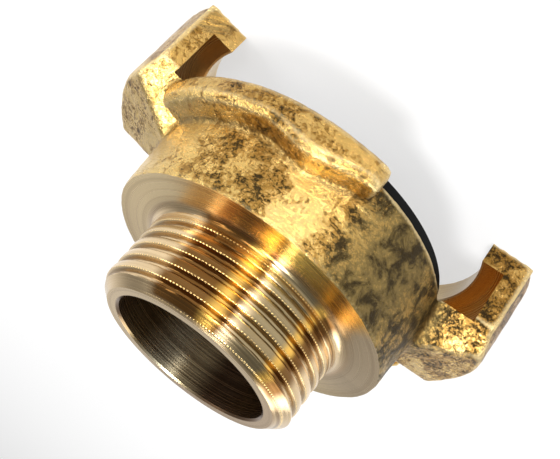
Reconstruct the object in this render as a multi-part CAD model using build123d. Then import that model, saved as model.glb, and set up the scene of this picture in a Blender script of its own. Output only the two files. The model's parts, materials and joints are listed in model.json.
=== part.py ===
"""Quarter-turn claw coupling half with a male pipe thread.

Frame: millimetres. +Z is the coupling's axis and points out of the threaded end. The part stands
on the front faces of its two claws at Z = 0. +X runs through the middle of one claw.
The mating half is the same part turned over, so both halves carry two claws and two ramped lips.
"""
import os
from math import atan2, cos, degrees, radians, sin, tan

from build123d import *

os.makedirs("parts", exist_ok=True)

# ---- threaded end -----------------------------------------------------------------------------
THREAD_D = 26.44            # G 3/4 major diameter
THREAD_ROOT_D = 25.2        # bottom of the shallow thread and of the groove at the shoulder
THREAD_PITCH = 1.814        # the thread is turned as rings; its lead is a surface detail
THREAD_ANGLE = 55.0         # degrees between the flanks
THREAD_LENGTH = 10.55       # shoulder to the end face
RELIEF_WIDTH = 1.3
END_RING_WIDTH = 1.5        # flat ring round the bore at the end face
END_CHAMFER_RISE = 1.25     # axial height of the lead-in chamfer
BORE_D = 20.3

# ---- drum -------------------------------------------------------------------------------------
RIM_D = 38.5                # drum diameter at the front rim
SHOULDER_D = 37.2           # drum diameter at the machined shoulder, smaller by the casting draft
DRUM_LENGTH = 11.65         # front rim to shoulder
RIM_CHAMFER = 0.35

# ---- claws ------------------------------------------------------------------------------------
TIP_THICKNESS = 2.95        # axial thickness of the hooked tip
SLOT_HEIGHT = 7.15          # axial height of the slot behind the tip
TIP_BORE_D = 42.0           # across the two tips, claw to claw
SLOT_D = 47.8               # across the turned walls of the two slots
CLAW_SPAN_D = 54.6          # across the crowned backs of the two claws
CLAW_HALF_WIDTH = 8.75      # half width where the tip's inner edge meets the claw's side
CLAW_SIDE_TAPER = 11.7      # degrees each side opens outwards
CLAW_CROWN_R = 17.0         # plan radius of the crowned back
ARM_ROOT_RISE = 4.5         # arm thickness where it leaves the drum
ARM_BACK_SLOPE = 20.0       # degrees the arm's back falls outwards
ARM_SIDE_BEVEL_DROP = 0.5   # the side bevels start this far below the slot floor
ARM_SIDE_BEVEL = 45.0       # degrees
CLAW_EDGE_R = 1.1           # rounding of the claw's upright outer corners
ARM_EDGE_R = 0.7            # rounding of the arm's back

# ---- lips -------------------------------------------------------------------------------------
LIP_D = 45.8
LIP_REST = 3.5              # lip thickness where the mating claw comes to rest
LIP_HUMP = 4.7              # thickest place, where the claw pulls the seals together
LIP_ENTRY = 3.0             # thickness at the open end, where the claw enters
LIP_ENTRY_ANGLE = 79.5      # degrees from the claw's middle to the lip's open end
LIP_HUMP_ANGLE = 101.0
LIP_REST_ANGLE = 117.0
LIP_END_R = 1.8             # plan rounding of the open end's corner
LIP_FRONT_EDGE = 0.6        # bevel of the lip's front edge
LIP_BACK_EDGE = 0.8         # bevel of the lip's ramped edge

# ---- seal and its seat ------------------------------------------------------------------------
SEAT_D = 33.0               # counterbore that holds the seal's body
SEAT_DEPTH = 6.0
SNAP_GROOVE_D = 35.2        # undercut that keeps the seal in
SNAP_GROOVE_WIDTH = 2.2
SNAP_GROOVE_DEPTH = 2.4     # rim to the groove's near wall
SEAL_BORE_D = 22.0
SEAL_FLANGE_D = 37.2
SEAL_FLANGE_RISE = 1.2      # flange thickness outside the rim
SEAL_BEAD_RISE = 2.2        # sealing bead outside the rim
SEAL_BEAD_D = 30.0          # outer diameter of the bead
SEAL_CLEARANCE = 0.08       # all round, between seal and seat

# ---- levels along the axis --------------------------------------------------------------------
rim_z = TIP_THICKNESS + SLOT_HEIGHT
shoulder_z = rim_z + DRUM_LENGTH
end_z = shoulder_z + THREAD_LENGTH
drum_r = RIM_D / 2
tip_r = TIP_BORE_D / 2
slot_r = SLOT_D / 2
claw_r = CLAW_SPAN_D / 2
lip_r = LIP_D / 2


def turned(points):
    """Solid of revolution about Z from a closed (radius, height) outline."""
    return revolve(Plane.XZ * make_face(Polyline(*points, close=True)), Axis.Z)


def thread_profile():
    """Outline of the thread's rings, counted back from the lead-in chamfer to the relief groove."""
    crest_r = THREAD_D / 2
    root_r = THREAD_ROOT_D / 2
    flank = (crest_r - root_r) * tan(radians(THREAD_ANGLE / 2))
    flat = (THREAD_PITCH - 2 * flank) / 2
    last = end_z - END_CHAMFER_RISE - flat
    rings = int((last - shoulder_z - RELIEF_WIDTH) / THREAD_PITCH) + 1
    points = []
    for i in range(rings - 1, -1, -1):
        z = last - i * THREAD_PITCH
        points += [(root_r, z - flank), (crest_r, z), (crest_r, z + flat), (root_r, z + flat + flank)]
    return points[:-1]


def drum_and_stub():
    """Cast drum, machined shoulder, relief groove and thread, without the bore."""
    return turned([
        (0, rim_z),
        (drum_r - RIM_CHAMFER, rim_z),
        (drum_r, rim_z + RIM_CHAMFER),
        (SHOULDER_D / 2, shoulder_z),
        (THREAD_ROOT_D / 2, shoulder_z),
        *thread_profile(),
        (BORE_D / 2 + END_RING_WIDTH, end_z),
        (0, end_z),
    ])


def waterway():
    """Bore, seal seat and snap groove, as one turned cutter."""
    groove_z = rim_z + SNAP_GROOVE_DEPTH
    seat_z = rim_z + SEAT_DEPTH
    return turned([
        (0, rim_z - 1),
        (SEAT_D / 2, rim_z - 1),
        (SEAT_D / 2, groove_z),
        (SNAP_GROOVE_D / 2, groove_z),
        (SNAP_GROOVE_D / 2, groove_z + SNAP_GROOVE_WIDTH),
        (SEAT_D / 2, groove_z + SNAP_GROOVE_WIDTH),
        (SEAT_D / 2, seat_z),
        (BORE_D / 2, seat_z),
        (BORE_D / 2, end_z + 1),
        (0, end_z + 1),
    ])


def claw():
    """Hooked claw about +X: crowned block, bevelled arm, turned slot and tip."""
    root_x = (drum_r + SEAT_D / 2) / 2          # inside the drum's wall
    tip_x = (tip_r**2 - CLAW_HALF_WIDTH**2) ** 0.5
    side = tan(radians(CLAW_SIDE_TAPER))
    top_z = rim_z + ARM_ROOT_RISE

    def half_width(x):
        return CLAW_HALF_WIDTH + side * (x - tip_x)

    def back_z(x):
        return top_z - tan(radians(ARM_BACK_SLOPE)) * (x - drum_r)

    wedge = make_face(Polyline(
        (root_x, -half_width(root_x)), (claw_r + 1, -half_width(claw_r + 1)),
        (claw_r + 1, half_width(claw_r + 1)), (root_x, half_width(root_x)), close=True))
    plan = wedge & Pos(claw_r - CLAW_CROWN_R, 0) * Circle(CLAW_CROWN_R)
    block = extrude(plan, top_z + 4)
    block = fillet(block.edges().filter_by(Axis.Z).group_by(Axis.X)[-1], CLAW_EDGE_R)

    # the arm: back falling outwards, both sides bevelled in towards the back
    bevel_z = rim_z - ARM_SIDE_BEVEL_DROP
    lean = tan(radians(ARM_SIDE_BEVEL)) * (top_z + 4 - bevel_z)
    outline = Plane.XZ * make_face(Polyline(
        (0, 0), (claw_r + 2, 0), (claw_r + 2, back_z(claw_r + 2)),
        (root_x, back_z(root_x)), (0, back_z(root_x)), close=True))
    arm = block & extrude(outline, 2 * claw_r, both=True)
    for hand in (1, -1):
        start = Vector(root_x, hand * half_width(root_x), bevel_z)
        along = Vector(1, hand * side, 0).normalized()
        up = Vector(0, -hand * lean, top_z + 4 - bevel_z).normalized()
        outward = along.cross(up) * -hand
        arm -= Plane(origin=start, x_dir=along, z_dir=outward) * Pos(0, 0, 10) * Box(90, 90, 20)
    back = arm.faces().filter_by(lambda f: f.normal_at().Z > 0.5).sort_by(Axis.Z)[-1]
    arm = fillet(back.edges().sort_by(Axis.X)[1:], ARM_EDGE_R)

    tip_level = TIP_THICKNESS
    cutter = Cylinder(tip_r, rim_z, align=(Align.CENTER, Align.CENTER, Align.MIN))
    slot = Pos(0, 0, tip_level) * Cylinder(
        slot_r, rim_z - tip_level, align=(Align.CENTER, Align.CENTER, Align.MIN))
    return arm - cutter - slot


def lip_rise(angle):
    """Lip thickness at an angle from the claw's middle, with smooth ramps both sides of the hump."""
    if angle < LIP_HUMP_ANGLE:
        low, share = LIP_ENTRY, (angle - LIP_ENTRY_ANGLE) / (LIP_HUMP_ANGLE - LIP_ENTRY_ANGLE)
    else:
        low, share = LIP_REST, (LIP_REST_ANGLE - angle) / (LIP_REST_ANGLE - LIP_HUMP_ANGLE)
    share = min(max(share, 0), 1)
    return low + (LIP_HUMP - low) * share**2 * (3 - 2 * share)


def lip():
    """Ramped lip from its open end round to the claw on -X: thin entry, hump, thin rest."""
    inner = (drum_r + SEAT_D / 2) / 2
    outer = lip_r + 2
    claw_angle = 180 - degrees(atan2(CLAW_HALF_WIDTH, tip_r)) + 3   # just inside the claw
    steps = 12
    sections = []
    for i in range(steps + 1):
        angle = LIP_ENTRY_ANGLE + (claw_angle - LIP_ENTRY_ANGLE) * i / steps
        radial = Plane(origin=(0, 0, 0), x_dir=(cos(radians(angle)), sin(radians(angle)), 0),
                       z_dir=(sin(radians(angle)), -cos(radians(angle)), 0))
        top = rim_z + lip_rise(angle)
        sections.append(radial * make_face(Polyline(
            (inner, rim_z - 1), (outer, rim_z - 1), (outer, top - LIP_BACK_EDGE - (outer - lip_r)),
            (lip_r - LIP_BACK_EDGE, top), (inner, top), close=True)))
    ring = turned([
        (inner - 3, rim_z), (lip_r - LIP_FRONT_EDGE, rim_z), (lip_r, rim_z + LIP_FRONT_EDGE),
        (lip_r, rim_z + LIP_HUMP + 1), (inner - 3, rim_z + LIP_HUMP + 1)])
    solid = loft(sections) & ring
    corner = solid.edges().filter_by(Axis.Z).filter_by(
        lambda e: abs(e.center().X) < lip_r / 2 and
        Vector(e.center().X, e.center().Y).length > lip_r - 0.1)
    return fillet(corner, LIP_END_R)


def body():
    """The one-piece casting."""
    solid = drum_and_stub()
    for turn in (0, 180):
        solid += Rot(0, 0, turn) * lip()
        solid += Rot(0, 0, turn) * claw()
    return solid - waterway()


def seal():
    """Rubber face seal: body in the counterbore, snap rib, flange on the rim and raised bead."""
    c = SEAL_CLEARANCE
    groove_z = rim_z + SNAP_GROOVE_DEPTH
    return turned([
        (SEAL_BORE_D / 2, rim_z - SEAL_BEAD_RISE),
        (SEAL_BEAD_D / 2 - 1, rim_z - SEAL_BEAD_RISE),
        (SEAL_BEAD_D / 2, rim_z - SEAL_FLANGE_RISE),
        (SEAL_FLANGE_D / 2, rim_z - SEAL_FLANGE_RISE),
        (SEAL_FLANGE_D / 2, rim_z - c),
        (SEAT_D / 2 - c, rim_z - c),
        (SEAT_D / 2 - c, groove_z + c),
        (SNAP_GROOVE_D / 2 - c, groove_z + c),
        (SNAP_GROOVE_D / 2 - c, groove_z + SNAP_GROOVE_WIDTH - c),
        (SEAT_D / 2 - c, groove_z + SNAP_GROOVE_WIDTH - c),
        (SEAT_D / 2 - c, rim_z + SEAT_DEPTH - c),
        (SEAL_BORE_D / 2, rim_z + SEAT_DEPTH - c),
    ])


export_step(body(), "parts/body.step")
export_step(seal(), "parts/seal.step")
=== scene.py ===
"""Looks of the quarter-turn claw hose coupling. Metres, in the CAD's frame: +Z is the axis,
out of the threaded end, and +X runs through the middle of one claw.

The visible body is made as the real one is: a casting with rounded edges and a rough skin is
taken from the CAD body, its turned faces are cut, and the threaded end is turned on."""
import json
from math import cos, hypot, radians, sin, sqrt, tan, tau

import bmesh
import bpy
import numpy as np
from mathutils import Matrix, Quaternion, Vector, kdtree, noise


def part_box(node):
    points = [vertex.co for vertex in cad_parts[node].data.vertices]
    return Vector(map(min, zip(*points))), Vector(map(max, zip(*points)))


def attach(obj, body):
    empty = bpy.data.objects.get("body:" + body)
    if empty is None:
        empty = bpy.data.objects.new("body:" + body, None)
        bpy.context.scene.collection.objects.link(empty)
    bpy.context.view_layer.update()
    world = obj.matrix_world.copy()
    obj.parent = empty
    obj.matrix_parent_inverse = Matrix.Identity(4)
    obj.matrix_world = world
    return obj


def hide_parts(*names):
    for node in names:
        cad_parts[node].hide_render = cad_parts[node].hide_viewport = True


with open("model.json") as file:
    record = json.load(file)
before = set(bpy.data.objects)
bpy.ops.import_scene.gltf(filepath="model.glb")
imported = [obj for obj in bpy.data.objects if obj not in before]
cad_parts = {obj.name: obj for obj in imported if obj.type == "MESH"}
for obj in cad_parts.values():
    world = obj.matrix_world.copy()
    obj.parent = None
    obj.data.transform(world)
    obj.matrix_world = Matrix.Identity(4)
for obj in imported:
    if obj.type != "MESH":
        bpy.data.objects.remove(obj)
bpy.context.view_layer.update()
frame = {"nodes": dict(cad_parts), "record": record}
MM = 0.001

# ---- sizes in millimetres, some from the imported record and the nodes' boxes -------------------
mounts = {m["name"]: m["dims"] for m in frame["record"]["mounts"]}
THREAD_R = mounts["thread"]["r_mm"]
BORE_R = mounts["waterway"]["r_mm"]
END_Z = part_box("body")[1][2] / MM
CLAW_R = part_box("body")[1][0] / MM
LIP_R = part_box("body")[1][1] / MM
STUB_LENGTH = 10.55             # shoulder to the end of the thread
DRUM_LENGTH = 11.65             # front rim to the shoulder
SLOT_LENGTH = 7.15              # back of the hooked tips to the front rim
SHOULDER_Z = END_Z - STUB_LENGTH
RIM_Z = SHOULDER_Z - DRUM_LENGTH
TIP_Z = RIM_Z - SLOT_LENGTH
SLOT_R = 23.9                   # turned wall of the claw slots
TIP_R = 21.0                    # turned inner face of the tips
CLAW_HALF_WIDTH = 8.75          # half width at the tip's inner corner
CLAW_SIDE_TAPER = 11.7          # degrees each side opens outwards
SEAT_R = 16.5
SEAT_DEPTH = 6.0
SNAP_R = 17.6
SNAP_NEAR, SNAP_FAR = 2.4, 4.6  # the snap groove's walls, from the rim
MOUTH_WIDENING = 0.3            # chamfer where the bore comes out of the threaded end
MOUTH_DEPTH = 0.25

# ---- threaded end -----------------------------------------------------------------------------
PITCH = 1.814
THREAD_DEPTH = 0.62
CREST_SHARE = 0.46              # share of the pitch that the crest takes
GROOVE_SHARE = 0.86             # share at which the flank has reached the groove
CREST_CROWN = 0.05              # how far a crest falls away at its edges
UNCUT_DROP = 0.04               # how far the uncut stub lies under the crests
END_RING = 1.5                  # width of the flat ring at the end
CHAMFER_RISE = 1.25             # length of the lead-in chamfer
COLLAR_R = 14.7                 # foot of the fillet at the shoulder
COLLAR_RISE = 1.0
RUNOUT_ANGLE = radians(118)     # where the thread starts out of the collar

# ---- casting ----------------------------------------------------------------------------------
VOXEL = 0.30                    # grain of the casting's mesh
HAIR = 0.001                    # keeps the skin just inside the CAD's box
EDGE_PASSES = 2                 # smoothing passes that round every cast edge
LIP_PASSES = 3                  # passes in all on the lips and the arms of the claws
RELIEF_PASSES = 5                 # how wide the worn bright edges, partly a painted highlight, and the painted corner shade are
WAVE_SCALE, WAVE_HEIGHT = 0.35, 0.05
LUMP_SCALE, LUMP_HEIGHT = 1.1, 0.035
PIT_SCALE, PIT_DEPTH = 2.0, 0.05
CORE_R = 18.2                   # the casting is solid inside this until it is turned
FILLER_OUTER_X = 24.6           # outer side of the metal that fills a slot
CLEAR = 40                      # a radius well outside the part
SHARP_ANGLE = radians(38)       # edges steeper than this stay sharp
NEAR_FLAT, NEAR_ROUND = 0.02, 0.05      # how near a face is to the plane or wall it lies on

# ---- stage ------------------------------------------------------------------------------------
FLOOR_GLOW = 0.62               # how far the floor is white rather than shaded
FLOOR_HALF = 3.0                # metres
PART_MIDDLE = Vector((0, 0, 0.018))     # metres, where the lamps aim
LAMPS = [       # name, azimuth and elevation in degrees, distance, width, height in m, watts
    ("key", 82, 62, 0.50, 0.16, 0.16, 2.0),
    ("low_front", 84, 9, 0.50, 0.05, 0.05, 0.60),
    ("front", 110, 30, 0.55, 0.22, 0.10, 0.9),
    ("fill_left", 165, 35, 0.60, 0.30, 0.30, 1.6),
    ("fill_right", -30, 35, 0.60, 0.30, 0.30, 1.0)]
HORIZON_LIGHT, OVERHEAD_LIGHT = 0.95, 0.28      # the world is pale low down, dimmer overhead
HORIZON_UP_TO, OVERHEAD_FROM = 0.10, 0.60       # heights between which it fades


def new_object(name, mesh):
    piece = bpy.data.objects.new(name, mesh)
    bpy.context.scene.collection.objects.link(piece)
    return piece


# ==== casting and turning ======================================================================
def clamp(value):
    """The value held between 0 and 1."""
    return min(max(value, 0.0), 1.0)


def ease(value):
    """Smooth step from 0 to 1."""
    value = clamp(value)
    return value * value * (3 - 2 * value)


def pole(bm, z, around):
    """A point on the axis, to be joined to a ring."""
    return [bm.verts.new((0, 0, z))] * around


def ring(bm, z, around, radius_at):
    """A ring of points at one height; radius_at gives the radius for each angle."""
    angles = [tau * i / around for i in range(around)]
    radii = [radius_at(angle) for angle in angles]
    return [bm.verts.new((radius * cos(angle), radius * sin(angle), z))
            for radius, angle in zip(radii, angles)]


def skinned(bm, rings):
    """Join each ring to the next with faces that look outwards."""
    around = len(rings[0])
    for low, high in zip(rings, rings[1:]):
        for i in range(around):
            j = (i + 1) % around
            bm.faces.new(list(dict.fromkeys([low[i], low[j], high[j], high[i]])))
    bmesh.ops.recalc_face_normals(bm, faces=bm.faces)
    return bm


def revolved(profile, around=256):
    """Closed mesh of revolution about Z from (radius, z) points; the first and last are on Z."""
    bm = bmesh.new()
    return skinned(bm, [
        pole(bm, z, around) if radius == 0 else ring(bm, z, around, lambda angle, r=radius: r)
        for radius, z in profile])


def to_mesh(bm, name):
    mesh = bpy.data.meshes.new(name)
    bm.to_mesh(mesh)
    bm.free()
    return mesh


def half_width(x):
    """Half the width of a claw at a distance from the axis."""
    corner_x = sqrt(TIP_R**2 - CLAW_HALF_WIDTH**2)
    return CLAW_HALF_WIDTH + tan(radians(CLAW_SIDE_TAPER)) * (x - corner_x)


def slot_filler(bm, side):
    """Metal that stands in a claw's slot until it is turned out."""
    points = []
    for z, inset in ((0, 0), (RIM_Z - 0.5, 0), (RIM_Z + 0.5, 1.0)):
        for x in (CORE_R, FILLER_OUTER_X):
            for hand in (-1, 1):
                points.append(bm.verts.new((side * x, hand * (half_width(x) - inset), z)))
    hull = bmesh.ops.convex_hull(bm, input=points)
    spare = list({*hull["geom_interior"], *hull["geom_unused"]})
    bmesh.ops.delete(bm, geom=spare, context="VERTS")


def blank():
    """The CAD body with its slots, bore and seat filled, as a mesh in millimetres."""
    bm = bmesh.new()
    bm.from_mesh(frame["nodes"]["body"].data)
    bmesh.ops.scale(bm, vec=(1 / MM, 1 / MM, 1 / MM), verts=bm.verts)
    bmesh.ops.remove_doubles(bm, verts=bm.verts, dist=1e-3)
    for side in (-1, 1):
        slot_filler(bm, side)
    core_top = SHOULDER_Z + 3
    core = revolved([(0, RIM_Z), (CORE_R, RIM_Z), (CORE_R, core_top), (0, core_top)], 96)
    core_mesh = to_mesh(core, "core")
    bm.from_mesh(core_mesh)
    bpy.data.meshes.remove(core_mesh)
    bmesh.ops.recalc_face_normals(bm, faces=bm.faces)
    return new_object("casting", to_mesh(bm, "casting"))


def applied(piece, kind, **values):
    """Put one modifier on a piece and keep its result."""
    modifier = piece.modifiers.new(kind.lower(), kind)
    for key, value in values.items():
        setattr(modifier, key, value)
    depsgraph = bpy.context.evaluated_depsgraph_get()
    mesh = bpy.data.meshes.new_from_object(piece.evaluated_get(depsgraph))
    piece.modifiers.clear()
    old = piece.data
    piece.data = mesh
    bpy.data.meshes.remove(old)


def combine(piece, tool_bm, operation):
    """Boolean of a piece with a closed tool mesh."""
    tool = new_object("tool", to_mesh(tool_bm, "tool"))
    applied(piece, "BOOLEAN", object=tool, operation=operation, solver="MANIFOLD")
    mesh = tool.data
    bpy.data.objects.remove(tool)
    bpy.data.meshes.remove(mesh)


def soft_share(co):
    """How far a point gets the extra smoothing: full on the lips, half on the claws' arms."""
    radius = hypot(co.x, co.y)
    on_lip = (ease((radius - 18.2) / 1.2) * ease((24.0 - radius) / 0.8)
              * ease(co.z - RIM_Z - 0.9))
    arm = ease((abs(co.x) - 23.5) / 1.5) * 0.5
    return max(on_lip, arm) * ease((SHOULDER_Z - co.z) / 1.5)


def rough_cast(piece):
    """Round the edges and give the skin the waves and pits of a sand casting.

    Returns how far each point stands out of its surroundings, for the worn edges, partly a painted
    highlight, and the painted shade in the corners."""
    mesh = piece.data
    count = len(mesh.vertices)
    points = np.empty(count * 3, np.float32)
    mesh.vertices.foreach_get("co", points)
    points = points.reshape(-1, 3)
    edges = np.empty(len(mesh.edges) * 2, np.int32)
    mesh.edges.foreach_get("vertices", edges)
    first, second = edges.reshape(-1, 2).T
    links = np.bincount(edges, minlength=count)[:, None]

    def neighbours(values):
        total = np.zeros_like(values)
        np.add.at(total, first, values[second])
        np.add.at(total, second, values[first])
        return total / links

    for turn in range(LIP_PASSES):
        share = 1.0 if turn < EDGE_PASSES else \
            np.array([soft_share(Vector(p)) for p in points], np.float32)[:, None]
        points += (neighbours(points) - points) * 0.5 * share
    mesh.vertices.foreach_set("co", points.ravel())
    mesh.update()
    normals = np.empty(count * 3, np.float32)
    mesh.vertex_normals.foreach_get("vector", normals)
    normals = normals.reshape(-1, 3)

    blurred = points
    for _ in range(RELIEF_PASSES):
        blurred = neighbours(blurred)
    proud = ((points - blurred) * normals).sum(axis=1)

    for i, (p, normal) in enumerate(zip(points, normals)):
        spot = Vector(p)
        wave = noise.noise(spot * WAVE_SCALE) * WAVE_HEIGHT
        lump = noise.noise(spot * LUMP_SCALE + Vector((7, 0, 0))) * LUMP_HEIGHT
        pit = ease((noise.noise(spot * PIT_SCALE + Vector((0, 9, 0))) - 0.25) * 3) * PIT_DEPTH
        points[i] = p + normal * (wave + lump - pit)
    points[:, 0] = np.clip(points[:, 0], HAIR - CLAW_R, CLAW_R - HAIR)
    points[:, 1] = np.clip(points[:, 1], HAIR - LIP_R, LIP_R - HAIR)
    points[:, 2] = np.maximum(points[:, 2], 0)
    mesh.vertices.foreach_set("co", points.ravel())
    mesh.update()
    tree = kdtree.KDTree(count)
    for i, p in enumerate(points):
        tree.insert(p, i)
    tree.balance()
    return tree, proud


def carry_relief(mesh, tree, proud):
    """Carry how far the casting's points stand out over to the finished mesh, whose coordinates are
    still in mm.
    """
    wear = mesh.attributes.new("wear", "FLOAT", "POINT")
    values = []
    for v in mesh.vertices:
        _, index, distance = tree.find(v.co)
        values.append(float(proud[index]) if distance < VOXEL * 1.5 else 0.0)
    wear.data.foreach_set("value", values)


def thread_radius(angle, z):
    """Outer radius of the threaded end: shallow right-hand helix, run-out, collar and chamfer."""
    phase = ((z - SHOULDER_Z) / PITCH - (angle - RUNOUT_ANGLE) / tau) % 1
    edge = abs(phase - 0.5) * 2         # 0 in the middle of the crest, 1 in the groove
    flank = ease((edge - CREST_SHARE) / (GROOVE_SHARE - CREST_SHARE))
    crown = CREST_CROWN * min(edge / CREST_SHARE, 1)**2
    cut = THREAD_R - crown - (THREAD_DEPTH - CREST_CROWN) * flank
    uncut = THREAD_R - UNCUT_DROP
    turns_in = (z - SHOULDER_Z) / PITCH - ((angle - RUNOUT_ANGLE) % tau) / tau
    radius = uncut + (cut - uncut) * ease(turns_in * 8 - 1)
    rise = clamp((z - SHOULDER_Z) / COLLAR_RISE)
    fillet = (COLLAR_R - THREAD_R) * (1 - sqrt(1 - (1 - rise)**2))
    chamfer_foot = BORE_R + END_RING
    slope = (THREAD_R - chamfer_foot) / CHAMFER_RISE
    return min(radius + fillet, chamfer_foot + slope * (END_Z - z))


def threaded_end():
    """Solid stub with the thread, from inside the casting to the end face."""
    around, levels = 240, 150
    foot_z = SHOULDER_Z - 2
    bm = bmesh.new()
    rings = [pole(bm, foot_z, around), ring(bm, foot_z, around, lambda angle: COLLAR_R)]
    for level in range(levels + 1):
        z = SHOULDER_Z + (END_Z - SHOULDER_Z) * level / levels
        rings.append(ring(bm, z, around, lambda angle: thread_radius(angle, z)))
    rings.append(pole(bm, END_Z, around))
    return skinned(bm, rings)


def turning_tool():
    """Everything that is turned out from the front: slots, tips, seat, snap groove and bore."""
    seat_z = RIM_Z + SEAT_DEPTH
    mouth_r = BORE_R + MOUTH_WIDENING
    return revolved([
        (0, -1), (TIP_R, -1), (TIP_R, TIP_Z), (SLOT_R, TIP_Z), (SLOT_R, RIM_Z), (SEAT_R, RIM_Z),
        (SEAT_R, RIM_Z + SNAP_NEAR), (SNAP_R, RIM_Z + SNAP_NEAR), (SNAP_R, RIM_Z + SNAP_FAR),
        (SEAT_R, RIM_Z + SNAP_FAR), (SEAT_R, seat_z), (BORE_R, seat_z),
        (BORE_R, END_Z - MOUTH_DEPTH), (mouth_r, END_Z + 0.05), (mouth_r, END_Z + 1),
        (0, END_Z + 1)])


def is_turned(centre, normal):
    """True on the faces that a lathe left."""
    radius = hypot(centre.x, centre.y)
    outward = (normal.x * centre.x + normal.y * centre.y) / max(radius, 1e-6)
    if centre.z > SHOULDER_Z - NEAR_FLAT or radius < SNAP_R + NEAR_FLAT:
        return True
    if centre.z < RIM_Z + NEAR_FLAT and outward < -0.95:
        return min(abs(radius - SLOT_R), abs(radius - TIP_R)) < NEAR_ROUND
    on_rim = normal.z < -0.99 and abs(centre.z - RIM_Z) < NEAR_FLAT
    on_tip = normal.z > 0.99 and abs(centre.z - TIP_Z) < NEAR_FLAT
    return on_rim or on_tip


def coupling_body(cast_material, turned_material):
    """The casting, turned and threaded, in metres."""
    piece = blank()
    applied(piece, "REMESH", mode="VOXEL", voxel_size=VOXEL)
    tree, proud = rough_cast(piece)
    past_end = END_Z + 5
    shoulder_cut = [(0, SHOULDER_Z), (CLEAR, SHOULDER_Z), (CLEAR, past_end), (0, past_end)]
    combine(piece, revolved(shoulder_cut, 64), "DIFFERENCE")
    combine(piece, threaded_end(), "UNION")
    combine(piece, turning_tool(), "DIFFERENCE")
    carry_relief(piece.data, tree, proud)
    piece.data.materials.clear()
    piece.data.materials.append(cast_material)
    piece.data.materials.append(turned_material)
    bm = bmesh.new()
    bm.from_mesh(piece.data)
    bmesh.ops.scale(bm, vec=(MM, MM, MM), verts=bm.verts)
    bm.normal_update()
    for face in bm.faces:
        face.smooth = True
        face.material_index = 1 if is_turned(face.calc_center_median() / MM, face.normal) else 0
    bm.to_mesh(piece.data)
    bm.free()
    piece.data.set_sharp_from_angle(angle=SHARP_ANGLE)
    return piece


# ==== materials ================================================================================
# linear colours of the cast skin, then of the turned faces
GOLD_DEEP = (0.67, 0.43, 0.11)
GOLD_PALE = (0.82, 0.60, 0.25)
CAST_BROWN = (0.38, 0.21, 0.048)
CAST_BLACK = (0.045, 0.031, 0.013)
CAST_OLIVE = (0.36, 0.25, 0.085)
LIP_SHADE = (0.70, 0.62, 0.50)
FILE_MARK = (0.20, 0.13, 0.05)
# painted shade in the corners of the casting
CORNER_SHADE = (0.15, 0.082, 0.024)
# worn bright edges, partly a painted highlight
RUBBED_EDGE_HIGHLIGHT = (0.90, 0.70, 0.35)
# painted shade in the thread's grooves
GROOVE_SHADE = (0.20, 0.105, 0.03)
# crest chatter brightened as a painted glint
CREST_BEAD_GLINT = (0.93, 0.66, 0.27)
BORE_BROWN = (0.17, 0.105, 0.06)
SLOT_DARK = (0.36, 0.20, 0.055)
SLOT_ORANGE = (0.62, 0.34, 0.075)
RING_LINE = (0.26, 0.155, 0.06)
# the stub's own pale brass, then colours of painted reflections and a painted amber highlight
STUB_PALE = (0.77, 0.58, 0.34)
STUB_REFLECTED_BROWN = (0.17, 0.078, 0.020)
STUB_AMBER_HIGHLIGHT = (0.90, 0.53, 0.11)
STUB_REFLECTED_OLIVE = (0.34, 0.265, 0.145)

# by angle round the axis, in turns from +X
SKIN_BY_TURN = [                # how much dark skin the drum kept
    (0.05, 0.64), (0.10, 0.62), (0.15, 0.70), (0.20, 0.64), (0.235, 0.51), (0.265, 0.46),
    (0.30, 0.55), (0.36, 0.53), (0.42, 0.45), (0.55, 0.50), (0.66, 0.58), (0.76, 0.62),
    (0.86, 0.50)]
# painted reflections and a painted amber highlight round the stub, by angle
STUB_PAINTED_REFLECTIONS = [
    (0.00, STUB_PALE), (0.100, STUB_PALE), (0.126, STUB_REFLECTED_BROWN), (0.142, STUB_REFLECTED_BROWN),
    (0.157, STUB_AMBER_HIGHLIGHT), (0.172, STUB_REFLECTED_OLIVE), (0.222, STUB_REFLECTED_OLIVE), (0.238, STUB_PALE),
    (0.250, STUB_REFLECTED_BROWN), (0.266, STUB_AMBER_HIGHLIGHT), (0.286, STUB_REFLECTED_BROWN), (0.344, STUB_REFLECTED_BROWN),
    (0.366, STUB_PALE), (0.52, STUB_PALE), (0.57, STUB_REFLECTED_OLIVE), (0.62, STUB_PALE),
    (0.71, STUB_REFLECTED_BROWN), (0.76, STUB_PALE), (0.84, STUB_AMBER_HIGHLIGHT), (0.88, STUB_REFLECTED_BROWN),
    (0.93, STUB_PALE), (1.00, STUB_PALE)]
# painted reflections and a painted yellow highlight on the shoulder, by angle
SHOULDER_PAINTED_REFLECTIONS = [
    (0.00, (0.52, 0.39, 0.23)), (0.115, (0.56, 0.42, 0.25)), (0.150, (0.92, 0.50, 0.08)),
    (0.185, (0.66, 0.44, 0.14)), (0.235, (0.96, 0.80, 0.30)), (0.285, (0.60, 0.39, 0.15)),
    (0.345, (0.78, 0.53, 0.23)), (0.41, (0.98, 0.76, 0.43)), (0.60, (0.70, 0.52, 0.28)),
    (0.72, (0.50, 0.34, 0.14)), (0.83, (0.78, 0.58, 0.28)), (1.00, (0.48, 0.36, 0.21))]
# painted reflections on the flat ring at the end, lighter and darker by angle
END_RING_PAINTED_REFLECTIONS = [
    (0.0, (0.50, 0.34, 0.18)), (0.2, (0.74, 0.56, 0.33)), (0.62, (0.72, 0.54, 0.31)),
    (0.80, (0.46, 0.31, 0.16)), (1.0, (0.50, 0.34, 0.18))]
# the bore's dark brown with a painted pale olive reflection on one side, by angle
BORE_PAINTED_REFLECTION = [
    (0.00, BORE_BROWN), (0.54, BORE_BROWN), (0.64, (0.36, 0.26, 0.13)),
    (0.71, (0.88, 0.78, 0.54)), (0.77, (0.60, 0.48, 0.28)), (0.83, (0.20, 0.12, 0.07)),
    (1.00, BORE_BROWN)]


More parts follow.
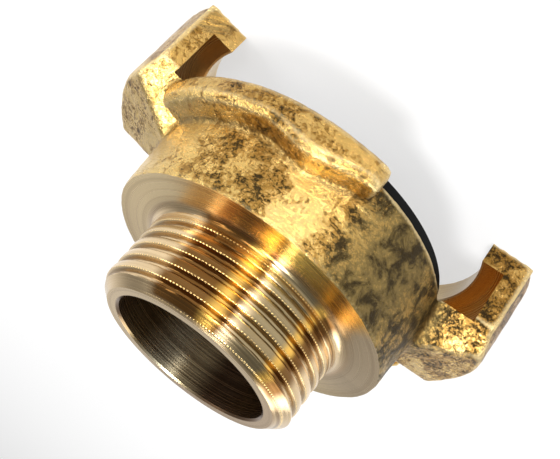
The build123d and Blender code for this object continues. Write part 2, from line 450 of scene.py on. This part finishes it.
class Nodes:
    """Short-hand for building a node tree."""

    def __init__(self, material):
        material.use_nodes = True
        self.tree = material.node_tree
        self.tree.nodes.clear()
        self.out = self.add("ShaderNodeOutputMaterial")
        self.bsdf = self.add("ShaderNodeBsdfPrincipled")
        self.link(self.bsdf.outputs[0], self.out.inputs["Surface"])

    def add(self, kind, **values):
        node = self.tree.nodes.new(kind)
        for key, value in values.items():
            setattr(node, key, value)
        return node

    def link(self, a, b):
        self.tree.links.new(a, b)

    def put(self, socket, value):
        if isinstance(value, (int, float)):
            socket.default_value = value
        elif isinstance(value, tuple):
            socket.default_value = (*value, 1) if len(socket.default_value) == 4 else value
        else:
            self.link(value, socket)

    def math(self, operation, a, b=0.0):
        node = self.add("ShaderNodeMath", operation=operation)
        self.put(node.inputs[0], a)
        self.put(node.inputs[1], b)
        return node.outputs[0]

    def spread(self, value, low, high, to_low=0.0, to_high=1.0):
        node = self.add("ShaderNodeMapRange", interpolation_type="SMOOTHSTEP")
        self.link(value, node.inputs["Value"])
        for name, number in (("From Min", low), ("From Max", high), ("To Min", to_low),
                             ("To Max", to_high)):
            node.inputs[name].default_value = number
        return node.outputs["Result"]

    def noise(self, vector, scale, detail=4.0, roughness=0.55, distortion=0.0):
        node = self.add("ShaderNodeTexNoise")
        self.link(vector, node.inputs["Vector"])
        node.inputs["Scale"].default_value = scale
        node.inputs["Detail"].default_value = detail
        node.inputs["Roughness"].default_value = roughness
        node.inputs["Distortion"].default_value = distortion
        return node.outputs["Fac"]

    def mix(self, factor, a, b, blend="MIX"):
        node = self.add("ShaderNodeMix", data_type="RGBA", blend_type=blend)
        self.put(node.inputs[0], factor)
        self.put(node.inputs[6], a)
        self.put(node.inputs[7], b)
        return node.outputs[2]

    def bump(self, height, strength, distance, normal=None):
        node = self.add("ShaderNodeBump")
        node.inputs["Strength"].default_value = strength
        node.inputs["Distance"].default_value = distance
        self.link(height, node.inputs["Height"])
        if normal is not None:
            self.link(normal, node.inputs["Normal"])
        return node.outputs["Normal"]

    def vector(self, x, y, z):
        node = self.add("ShaderNodeCombineXYZ")
        for socket, value in zip(node.inputs, (x, y, z)):
            self.put(socket, value)
        return node.outputs[0]

    def ramp(self, value, stops):
        """Colour ramp from (place, colour) stops, eased between them."""
        node = self.add("ShaderNodeValToRGB")
        node.color_ramp.interpolation = "EASE"
        elements = node.color_ramp.elements
        for _ in range(len(stops) - 2):
            elements.new(0.5)
        for element, (at, _) in zip(elements, stops):
            element.position = at
        for element, (_, color) in zip(elements, stops):
            element.color = (*color, 1)
        self.link(value, node.inputs[0])
        return node.outputs[0]


def place(n):
    """Object coordinates in millimetres: the vector, its parts, the radius, the angle in turns."""
    coords = n.add("ShaderNodeTexCoord").outputs["Object"]
    scaled = n.add("ShaderNodeVectorMath", operation="SCALE")
    n.link(coords, scaled.inputs[0])
    scaled.inputs["Scale"].default_value = 1 / MM
    p = scaled.outputs["Vector"]
    split = n.add("ShaderNodeSeparateXYZ")
    n.link(p, split.inputs[0])
    x, y, z = split.outputs
    length = n.add("ShaderNodeVectorMath", operation="LENGTH")
    n.link(n.vector(x, y, 0.0), length.inputs[0])
    turn = n.math("FRACT", n.math("DIVIDE", n.math("ARCTAN2", y, x), tau))
    return p, x, y, z, length.outputs["Value"], turn


def cast_brass():
    """Sand-cast skin: gold where it is worn bright, brown to olive-black where it is not; the edges
    get a partly painted highlight and the corners painted shade.
    """
    n = Nodes(material := bpy.data.materials.new("cast_brass"))
    p, x, y, z, r, turn = place(n)
    patches = n.noise(p, 0.16, 4, 0.6)
    blots = n.noise(p, 0.42, 8, 0.70, 0.4)
    speck = n.noise(p, 2.6, 7, 0.72, 0.2)
    crinkle = n.noise(n.vector(n.math("MULTIPLY", turn, 60.0), n.math("MULTIPLY", z, 1.3), r),
                      1.1, 5, 0.65, 0.5)
    crack = n.spread(n.math("ABSOLUTE", n.math("SUBTRACT", crinkle, 0.5)), 0.0, 0.035, 1.0, 0.0)
    # how much dark skin each side of the drum kept, by angle
    level = n.add("ShaderNodeFloatCurve")
    curve = level.mapping.curves[0]
    for at, height in SKIN_BY_TURN:
        curve.points.new(at, height)
    curve.points[0].location = (0, 0.56)
    curve.points[-1].location = (1, 0.56)
    level.mapping.update()
    n.link(turn, level.inputs["Value"])
    on_drum = n.spread(r, 19.6, 22.5, 1.0, 0.35)
    bias = n.math("MULTIPLY", n.math("SUBTRACT", level.outputs[0], 0.5), on_drum)
    skin = n.math("ADD", n.math("ADD", n.math("MULTIPLY", blots, 0.55),
                                n.math("MULTIPLY", speck, 0.45)), bias)
    outside = n.spread(r, 21.8, 23.0)
    skin = n.math("ADD", skin, n.math("MULTIPLY", outside, 0.015))
    skin = n.math("ADD", skin, n.math("MULTIPLY", crack, n.spread(skin, 0.46, 0.58, 0.0, 0.13)))
    brown = n.spread(skin, 0.485, 0.565)
    dark = n.spread(skin, 0.580, 0.635)
    gold = n.mix(patches, GOLD_DEEP, GOLD_PALE)
    tone = n.mix(brown, gold, CAST_BROWN)
    tone = n.mix(dark, tone, CAST_BLACK)
    olive = n.math("MULTIPLY", n.spread(bias, 0.03, 0.10), n.spread(blots, 0.40, 0.60, 0.6, 0.0))
    tone = n.mix(olive, tone, CAST_OLIVE)
    # the lips and the hooked tips are browner than the drum
    on_lip = n.math("MULTIPLY", outside, n.spread(n.math("ABSOLUTE", y), 14.0, 17.0))
    on_tip = n.spread(z, RIM_Z - 1.5, RIM_Z + 1.5, 1.0, 0.0)
    tone = n.mix(n.math("MULTIPLY", n.math("MAXIMUM", on_lip, on_tip), 0.85), tone,
                 LIP_SHADE, "MULTIPLY")
    # file marks across the end of one claw
    marks = n.noise(n.vector(n.math("MULTIPLY", n.math("ADD", x, z), 2.6),
                             n.math("MULTIPLY", n.math("SUBTRACT", x, z), 0.15),
                             n.math("MULTIPLY", y, 0.15)), 1.0, 2, 0.6)
    filed = n.math("MULTIPLY", n.spread(x, -21.0, -20.0, 1.0, 0.0),
                   n.spread(z, 3.2, 4.2, 1.0, 0.0))
    scores = n.math("MULTIPLY", filed, n.spread(marks, 0.46, 0.56))
    tone = n.mix(n.math("MULTIPLY", scores, 0.6), tone, FILE_MARK)
    # worn bright on the edges, partly a painted highlight; painted shade in the corners
    wear = n.add("ShaderNodeAttribute", attribute_name="wear").outputs["Fac"]
    broken = n.math("MULTIPLY", n.math("SUBTRACT", speck, 0.5), 0.10)
    rubbed_and_highlit = n.math("ADD", wear, broken)
    tone = n.mix(n.spread(wear, -0.02, -0.10, 0.0, 0.55), tone, CORNER_SHADE)
    tone = n.mix(n.spread(rubbed_and_highlit, 0.035, 0.11, 0.0, 0.70), tone, RUBBED_EDGE_HIGHLIGHT)
    n.link(tone, n.bsdf.inputs["Base Color"])
    n.bsdf.inputs["Metallic"].default_value = 1.0
    n.link(n.spread(skin, 0.42, 0.70, 0.20, 0.46), n.bsdf.inputs["Roughness"])
    normal = n.bump(n.noise(p, 0.9, 3, 0.5), 0.4, 0.14 * MM)
    normal = n.bump(n.math("SUBTRACT", speck, n.math("MULTIPLY", crack, 0.35)), 0.6, 0.13 * MM,
                    normal)
    n.link(normal, n.bsdf.inputs["Normal"])
    return material


def turned_brass():
    """Lathe-turned faces: fine rings, painted reflections as streaks along the axis and by angle on
    the shoulder, end ring and bore, painted shade in the grooves and painted glints on the crests.
    """
    n = Nodes(material := bpy.data.materials.new("turned_brass"))
    p, x, _, z, r, turn = place(n)
    rings = n.vector(r, z, 0.0)
    lines = n.noise(rings, 5.0, 3, 0.65)
    bands = n.noise(rings, 1.1, 2, 0.5)
    cloud = n.noise(p, 0.28, 3, 0.55)
    # painted reflections: dark, amber and olive streaks along the axis round the stub, by angle
    wander = n.math("MULTIPLY", n.math("SUBTRACT", cloud, 0.5), 0.015)
    stub_reflections = n.ramp(n.math("ADD", turn, wander), STUB_PAINTED_REFLECTIONS)
    on_stub = n.math("MULTIPLY", n.spread(r, 13.6, 14.6, 1.0, 0.0), n.spread(r, 11.6, 12.2))
    # the shoulder: painted reflections by angle, pale, browner towards the drum's bright side, with
    # a painted yellow highlight
    shoulder_reflections = n.ramp(turn, SHOULDER_PAINTED_REFLECTIONS)
    on_shoulder = n.spread(r, 14.2, 15.0)
    # the flat end ring: painted reflections by angle
    ring = n.ramp(turn, END_RING_PAINTED_REFLECTIONS)
    face = n.mix(on_shoulder, ring, shoulder_reflections)
    tone = n.mix(on_stub, face, stub_reflections)
    # chatter beads along the edge of every crest: bumped, and brightened as a painted glint
    lead = n.math("FRACT", n.math("SUBTRACT", n.math("DIVIDE", n.math("SUBTRACT", z, SHOULDER_Z),
                                                     PITCH),
                                  n.math("SUBTRACT", turn, RUNOUT_ANGLE / tau)))
    edge = n.spread(n.math("ABSOLUTE", n.math("SUBTRACT", lead, 0.74)), 0.015, 0.06, 1.0, 0.0)
    beads = n.math("SINE", n.math("MULTIPLY", turn, tau * 190))
    chatter_and_glint = n.math("MULTIPLY", n.math("MULTIPLY", edge, on_stub), n.spread(beads, -0.4, 0.6))
    # painted shade in the groove of every turn
    groove_shade = n.spread(n.math("ABSOLUTE", n.math("SUBTRACT", lead, 0.88)), 0.03, 0.10, 1.0, 0.0)
    tone = n.mix(n.math("MULTIPLY", n.math("MULTIPLY", groove_shade, on_stub), 0.65), tone,
                 GROOVE_SHADE)
    tone = n.mix(chatter_and_glint, tone, CREST_BEAD_GLINT)
    # the bore: dark brown, with a painted pale olive reflection on one side
    bore_painted_reflection = n.ramp(turn, BORE_PAINTED_REFLECTION)
    tone = n.mix(n.spread(r, 10.3, 10.55, 1.0, 0.0), tone, bore_painted_reflection)
    in_slot = n.math("MULTIPLY", n.spread(z, 9.9, 10.3, 1.0, 0.0), n.spread(r, 21.1, 21.4))
    slot = n.mix(n.spread(x, -5.0, 5.0), SLOT_DARK, SLOT_ORANGE)
    tone = n.mix(n.math("MULTIPLY", in_slot, 0.9), tone, slot)
    tone = n.mix(n.spread(bands, 0.45, 0.65, 0.0, 0.25), tone, RING_LINE)
    n.link(tone, n.bsdf.inputs["Base Color"])
    n.bsdf.inputs["Metallic"].default_value = 1.0
    n.bsdf.inputs["Anisotropic"].default_value = 0.6
    n.bsdf.inputs["Anisotropic Rotation"].default_value = 0.25
    tangent = n.add("ShaderNodeTangent", direction_type="RADIAL", axis="Z")
    n.link(tangent.outputs[0], n.bsdf.inputs["Tangent"])
    n.link(n.spread(lines, 0.3, 0.7, 0.18, 0.30), n.bsdf.inputs["Roughness"])
    normal = n.bump(n.math("MULTIPLY", lines, n.spread(r, 21.0, 21.4, 1.0, 0.3)), 0.35, 0.02 * MM)
    n.link(n.bump(chatter_and_glint, 0.5, 0.05 * MM, normal), n.bsdf.inputs["Normal"])
    return material


def seal_rubber():
    """Black rubber with a fine grain."""
    n = Nodes(material := bpy.data.materials.new("seal_rubber"))
    p = place(n)[0]
    grain = n.noise(p, 3, 3, 0.6)
    n.link(n.mix(grain, (0.003, 0.003, 0.003), (0.009, 0.009, 0.009)), n.bsdf.inputs["Base Color"])
    n.link(n.spread(grain, 0.3, 0.7, 0.5, 0.62), n.bsdf.inputs["Roughness"])
    n.bsdf.inputs["Specular IOR Level"].default_value = 0.05
    n.link(n.bump(grain, 0.2, 0.03 * MM), n.bsdf.inputs["Normal"])
    return material


# ==== stage ====================================================================================
def light_path_mix(n, plain, bright, share):
    """Show a share of the bright shader to the camera and to gloss, and the plain one elsewhere."""
    path = n.add("ShaderNodeLightPath")
    seen = n.math("MAXIMUM", path.outputs["Is Camera Ray"],
                  n.math("MAXIMUM", path.outputs["Is Glossy Ray"],
                         path.outputs["Is Transmission Ray"]))
    mix = n.add("ShaderNodeMixShader")
    n.link(n.math("MULTIPLY", seen, share), mix.inputs[0])
    n.link(plain, mix.inputs[1])
    n.link(bright, mix.inputs[2])
    n.link(mix.outputs[0], n.out.inputs["Surface"])


def floor_material():
    """Pale paper: white to the camera and in reflections, and it keeps part of its shadow."""
    n = Nodes(material := bpy.data.materials.new("floor_white"))
    n.bsdf.inputs["Base Color"].default_value = (0.92, 0.92, 0.92, 1)
    n.bsdf.inputs["Roughness"].default_value = 0.9
    n.bsdf.inputs["Specular IOR Level"].default_value = 0.1
    glow = n.add("ShaderNodeEmission")
    glow.inputs["Strength"].default_value = 1.0
    light_path_mix(n, n.bsdf.outputs[0], glow.outputs[0], FLOOR_GLOW)
    return material


def quad(name, corners, material):
    mesh = bpy.data.meshes.new(name)
    mesh.from_pydata(corners, [], [tuple(range(len(corners)))])
    mesh.materials.append(material)
    return new_object(name, mesh)


def softbox(name, azimuth, elevation, distance, width, height, power):
    """Area lamp aimed at the part from a direction in degrees; power in watts."""
    lamp = bpy.data.lights.new(name, "AREA")
    lamp.shape = "RECTANGLE"
    lamp.size, lamp.size_y, lamp.energy = width, height, power
    direction = Vector((cos(radians(azimuth)) * cos(radians(elevation)),
                        sin(radians(azimuth)) * cos(radians(elevation)), sin(radians(elevation))))
    holder = bpy.data.objects.new(name, lamp)
    holder.location = PART_MIDDLE + direction * distance
    holder.rotation_euler = direction.to_track_quat("Z", "Y").to_euler()
    bpy.context.scene.collection.objects.link(holder)


body_piece = coupling_body(cast_brass(), turned_brass())
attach(body_piece, "root")
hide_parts("body")

seal_node = frame["nodes"]["seal"]
seal_node.data.materials.clear()
seal_node.data.materials.append(seal_rubber())

floor = quad("floor", [(-FLOOR_HALF, -FLOOR_HALF, 0), (FLOOR_HALF, -FLOOR_HALF, 0),
                       (FLOOR_HALF, FLOOR_HALF, 0), (-FLOOR_HALF, FLOOR_HALF, 0)], floor_material())

for lamp_values in LAMPS:
    softbox(*lamp_values)

world = bpy.data.worlds.new("studio")
world.use_nodes = True
studio = world.node_tree
sky = studio.nodes.new("ShaderNodeTexCoord")
height = studio.nodes.new("ShaderNodeSeparateXYZ")
fade = studio.nodes.new("ShaderNodeMapRange")
fade.interpolation_type = "SMOOTHSTEP"
for name, number in (("From Min", HORIZON_UP_TO), ("From Max", OVERHEAD_FROM),
                     ("To Min", HORIZON_LIGHT), ("To Max", OVERHEAD_LIGHT)):
    fade.inputs[name].default_value = number
studio.links.new(sky.outputs["Generated"], height.inputs[0])
studio.links.new(height.outputs["Z"], fade.inputs["Value"])
studio.links.new(fade.outputs["Result"], studio.nodes["Background"].inputs["Color"])
studio.nodes["Background"].inputs["Strength"].default_value = 1.0
bpy.context.scene.world = world
bpy.context.scene.view_settings.view_transform = "Standard"

# ---- camera: above and in front of the lips, rolled so that the thread points down-left -------
CAMERA_PLACE = Vector((-0.71, 96.28, 59.41)) * MM
CAMERA_PITCH = -25.996          # degrees below the horizon
CAMERA_YAW = -0.467             # degrees off the -Y direction
CAMERA_ROLL = -139.973
CAMERA_LENS = 56.67             # mm on a 36 mm sensor

camera_data = bpy.data.cameras.new("camera")
camera_data.lens = CAMERA_LENS
camera_data.sensor_width = 36
camera_data.clip_start = 0.005
camera = bpy.data.objects.new("camera", camera_data)
camera.location = CAMERA_PLACE
forward = Vector((sin(radians(CAMERA_YAW)) * cos(radians(CAMERA_PITCH)),
                  -cos(radians(CAMERA_YAW)) * cos(radians(CAMERA_PITCH)),
                  sin(radians(CAMERA_PITCH))))
camera.rotation_mode = "QUATERNION"
camera.rotation_quaternion = (forward.to_track_quat("-Z", "Y")
                              @ Quaternion((0, 0, 1), radians(CAMERA_ROLL)))
bpy.context.scene.collection.objects.link(camera)
bpy.context.scene.camera = camera
